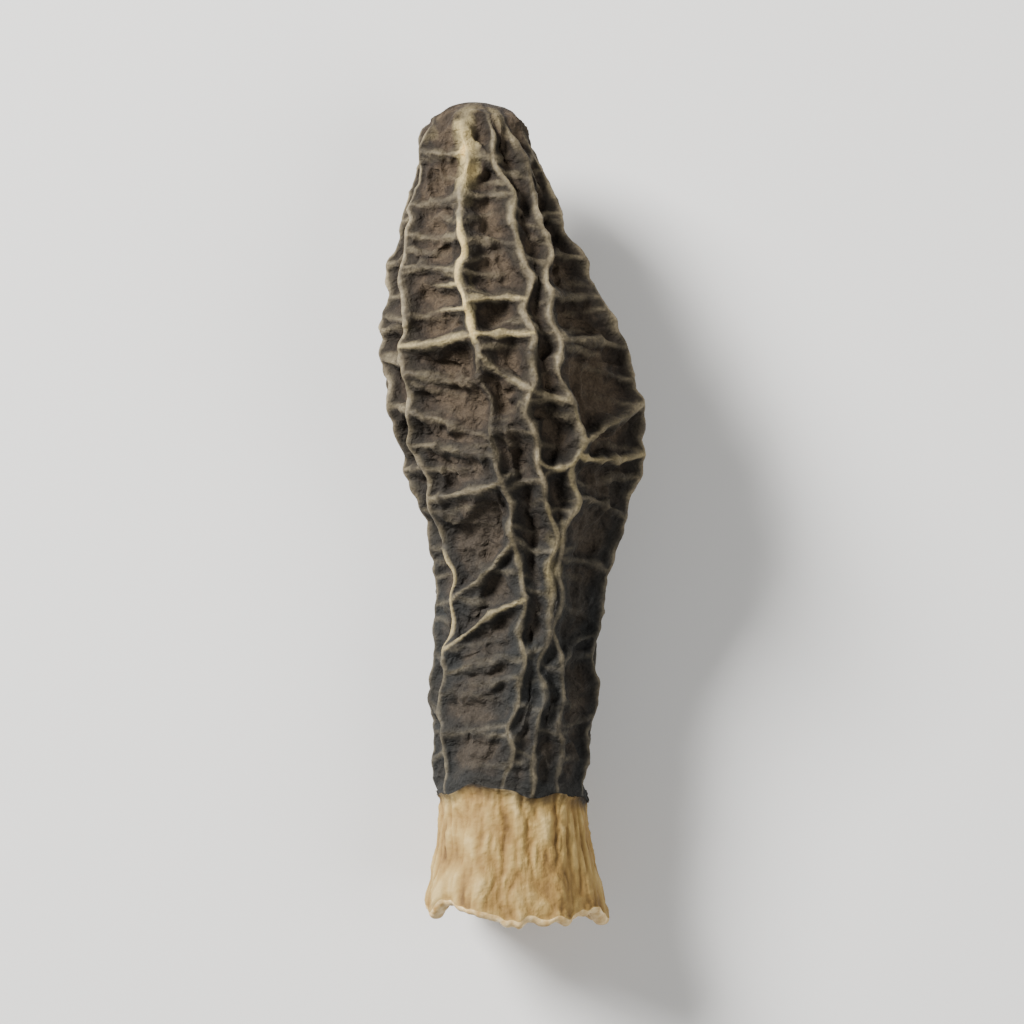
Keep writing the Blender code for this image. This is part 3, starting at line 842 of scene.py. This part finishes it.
vertices, triangles = grid_triangles(skin)
if signed_volume(vertices, triangles) < 0:
    triangles = triangles[:, ::-1]
flesh_mesh = mesh_of("morel_flesh", vertices, triangles)
flesh = new_object("morel_flesh", flesh_mesh)
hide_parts("morel")
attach(flesh, "root")
print("volume", round(signed_volume(vertices, triangles)), "cubic mm")

# %% [markdown]
# The colours of a morel follow its form: pale on worn crests, dark in the pits. A painted picture could be
# wrapped round it, but it would blur up close. So the mesh keeps a few numbers at each vertex and the
# materials read them, and a colour sits on a crest because it is a crest. Worn cream patches, where the dark
# skin has rubbed off, are listed places on the cap, beside the worn folds.

# %% Values that the materials read
# Distance from the tip, angle, half length, half width, strength
CREAM_PATCHES = (
    (2.7, 104, 2.0, 0.66, 1.05),
    (1.2, 60, 0.9, 0.50, 0.40),
    (1.6, 150, 0.8, 0.45, 0.35),
    (21.4, 70, 2.4, 0.46, 0.40),
    (10.2, 104, 1.6, 0.22, 0.5),
)


def cream_amount():
    """How worn each point is: the sum of soft oval spots, each a bell curve along and across, made uneven."""
    total = np.zeros((ROWS, COLUMNS))
    for down, degrees, half_length, half_width, strength in CREAM_PATCHES:
        turn = np.mod(all_angles - math.radians(degrees) + math.pi, 2 * math.pi) - math.pi
        sideways = turn * np.maximum(crest_radius(all_down), 0.3)
        total += strength * np.exp(-((all_down - down) / half_length) ** 2 - (sideways / half_width) ** 2)
    return total * is_cap * (0.78 + 0.5 * crumple(skin, 0.7, 60))


def keep_values(mesh, name, grid):
    """Keeps a grid of numbers or of places, one for each vertex, under a name that a material can ask for."""
    kind, field = ("FLOAT", "value") if grid.ndim == 2 else ("FLOAT_VECTOR", "vector")
    attribute = mesh.attributes.new(name, kind, "POINT")
    attribute.data.foreach_set(field, at_vertices(grid).astype(np.float32).ravel())


VALUES = {
    "edge": edge,
    "depth": pit_depth,
    "pale": np.maximum(pale, cream_amount()),
    "under_cap": np.clip(1 - (all_down - cap_down[-1]) / 1.1, 0, 1) * (1 - is_cap),  # fades over 1.1 mm
    "wrinkle": np.clip(wrinkles * 2.6 + 0.5, 0, 1),  # 0 in the deepest furrows, 1 on the highest folds
    "tip_to_cut": all_down / CUT_AT,
    "unbent": unbent * MM,
}
for name, grid in VALUES.items():
    keep_values(flesh_mesh, name, grid)
print("kept at each vertex:", ", ".join(VALUES))

# %% [markdown]
# Four helpers serve all the materials. They turn an sRGB hex value into the linear numbers that Blender's
# shaders use, add a node with its settings, links and colour stops, work out the scale of a noise from a size
# in mm, and start a material. Nodes could be joined by hand in the editor, but in a script each line says
# what it does.

# %% Helpers for materials


def linear(hex_value):
    """sRGB hex to linear: a straight piece near black, and a power of 2.4 above it."""
    parts = [int(hex_value[i:i + 2], 16) / 255 for i in (1, 3, 5)]
    return (*[p / 12.92 if p <= 0.04045 else ((p + 0.055) / 1.055) ** 2.4 for p in parts], 1.0)


def add_node(tree, kind, sockets=(), stops=(), out=0, **settings):
    """Adds a node and gives back one of its outputs, the first if none is named. Each input, by name or
    number, gets a value or a link from another node's output."""
    node = tree.nodes.new(kind)
    for name, value in settings.items():
        setattr(node, name, value)
    for name, value in dict(sockets).items():
        if isinstance(value, bpy.types.NodeSocket):
            tree.links.new(value, node.inputs[name])
        else:
            node.inputs[name].default_value = value
    for number, (place, colour) in enumerate(stops):
        elements = node.color_ramp.elements
        element = elements[number] if number < len(elements) else elements.new(place)
        element.position, element.color = place, linear(colour)
    return node.outputs[out]


def per_size(millimetres):
    """The scale of a noise texture whose features are that many millimetres across."""
    return 1 / (millimetres * MM)


def new_material(name, sockets):
    """A material with a Principled shader whose plain sockets hold values for the whole surface."""
    material = bpy.data.materials.new(name)
    material.use_nodes = True
    shader = material.node_tree.nodes["Principled BSDF"]
    for socket, value in sockets.items():
        shader.inputs[socket].default_value = value
    return material, material.node_tree, shader


print("half grey is", round(linear("#808080")[0], 3), "in linear light")

# %% [markdown]
# Dried cap skin is matte, like worn suede: it is a layer of spore sacs over tough flesh, and light is lost
# between them, so its gloss is set weaker than that of a smooth skin. The floors of the pits are brown, and
# their walls are painted nearly black, as painted shade. The edges of the ribs, rubbed in handling, are a
# pale grey-brown, but only in places, and cream where the skin is gone. Painted shade makes the cap darker
# and greyer towards the stem. One noise would repeat itself, so five of different sizes keep any two places
# from looking alike.

# %% Cap skin: what varies
cap_skin, tree, shader = new_material("dried morel cap skin", {"IOR": 1.45, "Specular IOR Level": 0.3})
place = add_node(tree, "ShaderNodeTexCoord", out="Object")
depth_here, edge_here, pale_here, along = [
    add_node(tree, "ShaderNodeAttribute", attribute_name=name, out="Fac")
    for name in ("depth", "edge", "pale", "tip_to_cut")
]
# Size in mm, detail, distortion, and the values that become 0 and 1
CAP_NOISES = (
    (0.8, 6.0, 0.6, 0.33, 0.67),
    (0.12, 3.0, 0.0, 0.32, 0.68),
    (2.6, 3.0, 0.0, 0.40, 0.62),
    (1.3, 4.0, 0.0, 0.34, 0.60),
    (0.45, 3.0, 0.3, 0.35, 0.62),
)
noises = []
for size, detail, distortion, low, high in CAP_NOISES:
    cloud = add_node(tree, "ShaderNodeTexNoise", {
        "Vector": place, "Scale": per_size(size), "Detail": detail, "Distortion": distortion,
    })
    noises.append(add_node(tree, "ShaderNodeMapRange", {
        "Value": cloud, "From Min": low, "From Max": high,
    }))
mottle, grain, patches, wear, flecks = noises
print(len(CAP_NOISES), "noises, of", [row[0] for row in CAP_NOISES], "mm")

# %% [markdown]
# The colour is mixed in layers: the skin, then painted shade, then wear. First comes the skin, brown from
# drying and brownest on the floors of the pits, with the walls of the pits painted nearly black as shade. A
# ramp that reads the depth gives that, with a mottle added so that its bands don't show. Painted shade then
# darkens and greys the cap towards the stem.

# %% Cap skin: colour of the pits, and painted shade
# painted shade: the ramp's darkest stops, on the walls of the pits, stand for shade; the brown floors are the
# skin's own colour
uneven_depth = add_node(tree, "ShaderNodeMath", {0: mottle, 1: 0.34, 2: depth_here}, operation="MULTIPLY_ADD")
pit_colour_with_wall_shade = add_node(tree, "ShaderNodeValToRGB", {"Fac": uneven_depth}, stops=(
    (0.08, "#352d23"), (0.30, "#221d15"), (0.62, "#211b14"), (0.86, "#32291f"), (1.0, "#42372a"),
))
# painted shade: towards the stem the cap is darkened and greyed, as the shade that falls there
shaded_lower_part = add_node(tree, "ShaderNodeMapRange", {"Value": along, "From Min": 0.36, "From Max": 0.64})
shade_below_share = add_node(tree, "ShaderNodeMapRange", {"Value": patches, "To Min": 0.5, "To Max": 0.9})
painted_shade_below = add_node(tree, "ShaderNodeMath", {0: shaded_lower_part, 1: shade_below_share}, operation="MULTIPLY")
shade_darkened_skin = add_node(
    tree, "ShaderNodeMix", {0: painted_shade_below, 6: pit_colour_with_wall_shade, 7: linear("#202120")}, data_type="RGBA", out=2
)
print("pits:", len(tree.nodes), "nodes so far")

# %% [markdown]
# Then comes the wear. Rubbing first takes the dark from the edges of the folds, and where it goes on the pale
# flesh shows. Both are mixed over the skin by the values on the mesh, broken up by noise, because a clean
# line of one colour would look painted.

# %% Cap skin: worn edges and cream
edge_colour = add_node(
    tree, "ShaderNodeMix", {0: flecks, 6: linear("#6a5f4a"), 7: linear("#8a7d62")}, data_type="RGBA", out=2
)
wear_share = add_node(tree, "ShaderNodeMapRange", {"Value": wear, "To Min": 0.2, "To Max": 0.95})
# painted shade: the pale edges are dimmed towards the stem, where shade falls
edges_shaded_below = add_node(tree, "ShaderNodeMapRange", {"Value": shaded_lower_part, "To Min": 1.0, "To Max": 0.45})
edge_share = edge_here
for factor in (wear_share, edges_shaded_below):
    edge_share = add_node(tree, "ShaderNodeMath", {0: edge_share, 1: factor}, operation="MULTIPLY")
edged = add_node(tree, "ShaderNodeMix", {0: edge_share, 6: shade_darkened_skin, 7: edge_colour}, data_type="RGBA", out=2)
broken = add_node(tree, "ShaderNodeMapRange", {"Value": mottle, "To Min": 0.55, "To Max": 1.25})
broken_pale = add_node(tree, "ShaderNodeMath", {0: pale_here, 1: broken}, operation="MULTIPLY")
pale_share = add_node(tree, "ShaderNodeMapRange", {
    "Value": broken_pale, "From Min": 0.12, "From Max": 0.45, "To Max": 0.95,
})
pale_colour = add_node(tree, "ShaderNodeValToRGB", {"Fac": pale_here}, stops=(
    (0.25, "#71664a"), (0.50, "#847653"), (0.80, "#ac9765"), (1.0, "#b8995c"),
))
creamy = add_node(tree, "ShaderNodeMix", {0: pale_share, 6: edged, 7: pale_colour}, data_type="RGBA", out=2)
grained = add_node(
    tree, "ShaderNodeMix", {0: 0.22, 6: creamy, 7: grain}, data_type="RGBA", blend_type="OVERLAY", out=2
)
tree.links.new(grained, shader.inputs["Base Color"])
print("worn edges:", len(tree.nodes), "nodes so far")

# %% [markdown]
# Last comes the feel of the skin. Worn edges are a little smoother and shinier than the suede around them.
# The grain is finer than the grid of the mesh, so it is left to bump, which costs no triangles. The spore
# sacs themselves are far too small to see, so the grain is drawn as coarse as it needs to be to show.

# %% Cap skin: gloss and grain
roughness = add_node(tree, "ShaderNodeMapRange", {"Value": edge_here, "To Min": 0.88, "To Max": 0.6})
tree.links.new(roughness, shader.inputs["Roughness"])
grain_bump = add_node(tree, "ShaderNodeBump", {"Height": grain, "Strength": 0.5, "Distance": 0.02 * MM})
rough_share = add_node(tree, "ShaderNodeMapRange", {"Value": edge_here, "To Min": 1.0, "To Max": 0.2})
fleck_height = add_node(tree, "ShaderNodeMath", {0: flecks, 1: rough_share}, operation="MULTIPLY")
fleck_bump = add_node(tree, "ShaderNodeBump", {
    "Height": fleck_height, "Strength": 0.8, "Distance": 0.10 * MM, "Normal": grain_bump,
})
tree.links.new(fleck_bump, shader.inputs["Normal"])
flesh_mesh.materials.append(cap_skin)
print(cap_skin.name, "has", len(tree.nodes), "nodes")

# %% [markdown]
# The stem has no spore layer. Fresh it is white, and it dries to the gold and tan of old ivory, with a mealy
# surface and brown in the furrows. Its noise is stretched along the stem, where the fibres run. Just under
# the cap it is darker, in blotches.

# %% Stem skin
stem_skin, tree, shader = new_material(
    "dried morel stem skin", {"Roughness": 0.78, "IOR": 1.45, "Specular IOR Level": 0.4}
)
place = add_node(tree, "ShaderNodeTexCoord", out="Object")
straight = add_node(tree, "ShaderNodeAttribute", attribute_name="unbent", out="Vector")
fibre_space = add_node(tree, "ShaderNodeMapping", {"Vector": straight, "Scale": (1.0, 1.0, 0.18)})
fibres = add_node(tree, "ShaderNodeTexNoise", {"Vector": fibre_space, "Scale": per_size(0.35), "Detail": 4.0})
meal, stain = [
    add_node(tree, "ShaderNodeTexNoise", {"Vector": place, "Scale": per_size(size), "Detail": 4.0})
    for size in (0.22, 1.5)  # mm
]
furrow, under_cap = [
    add_node(tree, "ShaderNodeAttribute", attribute_name=name, out="Fac")
    for name in ("wrinkle", "under_cap")
]
tone = add_node(tree, "ShaderNodeMath", {0: fibres, 1: 0.5, 2: furrow}, operation="MULTIPLY_ADD")
stem_colour = add_node(tree, "ShaderNodeValToRGB", {"Fac": tone}, stops=(
    (0.35, "#5d4420"), (0.55, "#836634"), (0.78, "#9a7f48"), (1.0, "#ad945f"),
))
stain_share = add_node(tree, "ShaderNodeMapRange", {
    "Value": stain, "From Min": 0.50, "From Max": 0.80, "To Max": 0.26,
})
stained = add_node(
    tree, "ShaderNodeMix", {0: stain_share, 6: stem_colour, 7: linear("#745028")}, data_type="RGBA", out=2
)
dark_rim = add_node(tree, "ShaderNodeMath", {0: under_cap, 1: stain}, operation="MULTIPLY")
dark_share = add_node(tree, "ShaderNodeMapRange", {"Value": dark_rim, "From Min": 0.18, "From Max": 0.50})
shaded = add_node(
    tree, "ShaderNodeMix", {0: dark_share, 6: stained, 7: linear("#2e261c")}, data_type="RGBA", out=2
)
tree.links.new(shaded, shader.inputs["Base Color"])
meal_bump = add_node(tree, "ShaderNodeBump", {"Height": meal, "Strength": 0.7, "Distance": 0.10 * MM})
stem_bump = add_node(tree, "ShaderNodeBump", {
    "Height": fibres, "Strength": 0.5, "Distance": 0.10 * MM, "Normal": meal_bump,
})
tree.links.new(stem_bump, shader.inputs["Normal"])
flesh_mesh.materials.append(stem_skin)
print(stem_skin.name, "has", len(tree.nodes), "nodes")

# %% [markdown]
# The cut shows bare flesh, paler and smoother than the skin, with fine pores from the drying. It could be the
# stem's own colour made lighter, but its pores and gloss differ too, so it has a material of its own.

# %% Cut flesh
cut_flesh, tree, shader = new_material("cut morel flesh", {"Roughness": 0.6, "IOR": 1.45})
place = add_node(tree, "ShaderNodeTexCoord", out="Object")
pores = add_node(tree, "ShaderNodeTexNoise", {"Vector": place, "Scale": per_size(0.3), "Detail": 3.0})
cut_colour = add_node(tree, "ShaderNodeValToRGB", {"Fac": pores}, stops=(
    (0.3, "#a98549"), (0.6, "#ccb07c"), (0.8, "#dfcca0"),
))
tree.links.new(cut_colour, shader.inputs["Base Color"])
cut_bump = add_node(tree, "ShaderNodeBump", {"Height": pores, "Strength": 0.4, "Distance": 0.07 * MM})
tree.links.new(cut_bump, shader.inputs["Normal"])
flesh_mesh.materials.append(cut_flesh)
print(cut_flesh.name, "has", len(tree.nodes), "nodes")

# %% [markdown]
# Inside, the hollow is lined with the same flesh, finely mealy and darker further in from the cut. It is seen
# only through the cut, so one blotchy noise over a slow change from brown to tan is enough.

# %% Lining of the hollow
lining, tree, shader = new_material("lining of the hollow", {"Roughness": 0.75, "IOR": 1.45})
place = add_node(tree, "ShaderNodeTexCoord", out="Object")
towards_cut = add_node(tree, "ShaderNodeAttribute", attribute_name="tip_to_cut", out="Fac")
blotch = add_node(tree, "ShaderNodeTexNoise", {"Vector": place, "Scale": per_size(1.1), "Detail": 4.0})
inside_tone = add_node(tree, "ShaderNodeMath", {0: blotch, 1: 0.5, 2: towards_cut}, operation="MULTIPLY_ADD")
lining_colour = add_node(tree, "ShaderNodeValToRGB", {"Fac": inside_tone}, stops=(
    (0.75, "#7d5a3c"), (0.95, "#a17d52"), (1.0, "#bf9f6e"),
))
tree.links.new(lining_colour, shader.inputs["Base Color"])
lining_bump = add_node(tree, "ShaderNodeBump", {"Height": blotch, "Strength": 0.5, "Distance": 0.15 * MM})
tree.links.new(lining_bump, shader.inputs["Normal"])
flesh_mesh.materials.append(lining)
print(lining.name, "has", len(tree.nodes), "nodes")

# %% [markdown]
# On the real one the dark skin stops in a line at the cap's edge, and the stem's skin in another at the cut.
# Such lines could be blended inside one material, but here they follow the grid: each triangle takes the
# finish of the row that it starts in, counted from the tip, so three row numbers part four finishes.

# %% Which triangles have which finish


def rows_of_triangles(triangles):
    """The lowest row number among a triangle's corners."""
    return at_vertices(row_number)[triangles].min(axis=1)


first_rows = np.array((CAP_END, RIM_START, LINING_START)) - 0.5
finish = np.searchsorted(first_rows, rows_of_triangles(triangles))
flesh_mesh.polygons.foreach_set("material_index", finish.astype(np.int32))
print("triangles of cap, stem, cut and hollow", np.bincount(finish).tolist())

# %% [markdown]
# A plain pale floor and soft light. A hard lamp would draw every crease in black, as the sun does. So a wide
# lamp up to the left is the key, and the crests cast short soft shadows into the pits. A weak lamp on the
# right and a pale sky fill the rest.

# %% Floor and light
FLOOR_SIZE = 3.0  # metres, so that its edge is never in the picture
floor_mesh = bpy.data.meshes.new("floor")
corner = FLOOR_SIZE / 2
floor_mesh.from_pydata(
    [(-corner, -corner, 0), (corner, -corner, 0), (corner, corner, 0), (-corner, corner, 0)],
    [],
    [(0, 1, 2, 3)],
)
floor = new_object("floor", floor_mesh)
paper, _, _ = new_material("pale paper", {"Roughness": 0.9, "Base Color": linear("#e4e2de")})
floor_mesh.materials.append(paper)


def soft_lamp(name, place, size, watts):
    """A square lamp that faces the mushroom. Its place and size are in metres."""
    data = bpy.data.lights.new(name, "AREA")
    data.size = size
    data.energy = watts
    lamp = new_object(name, data)
    lamp.location = place
    lamp.rotation_euler = (Vector(place) - LOOK_AT).to_track_quat("Z", "Y").to_euler()


soft_lamp("key", (-0.30, 0.22, 0.25), 0.16, 6.5)
soft_lamp("fill", (0.34, -0.10, 0.34), 0.30, 1.3)
sky = bpy.data.worlds.new("sky")
sky.use_nodes = True
background = sky.node_tree.nodes["Background"].inputs
background["Color"].default_value = linear("#eef0f2")
background["Strength"].default_value = 0.33
bpy.context.scene.world = sky
print("lamps", [lamp.name for lamp in bpy.data.lights])
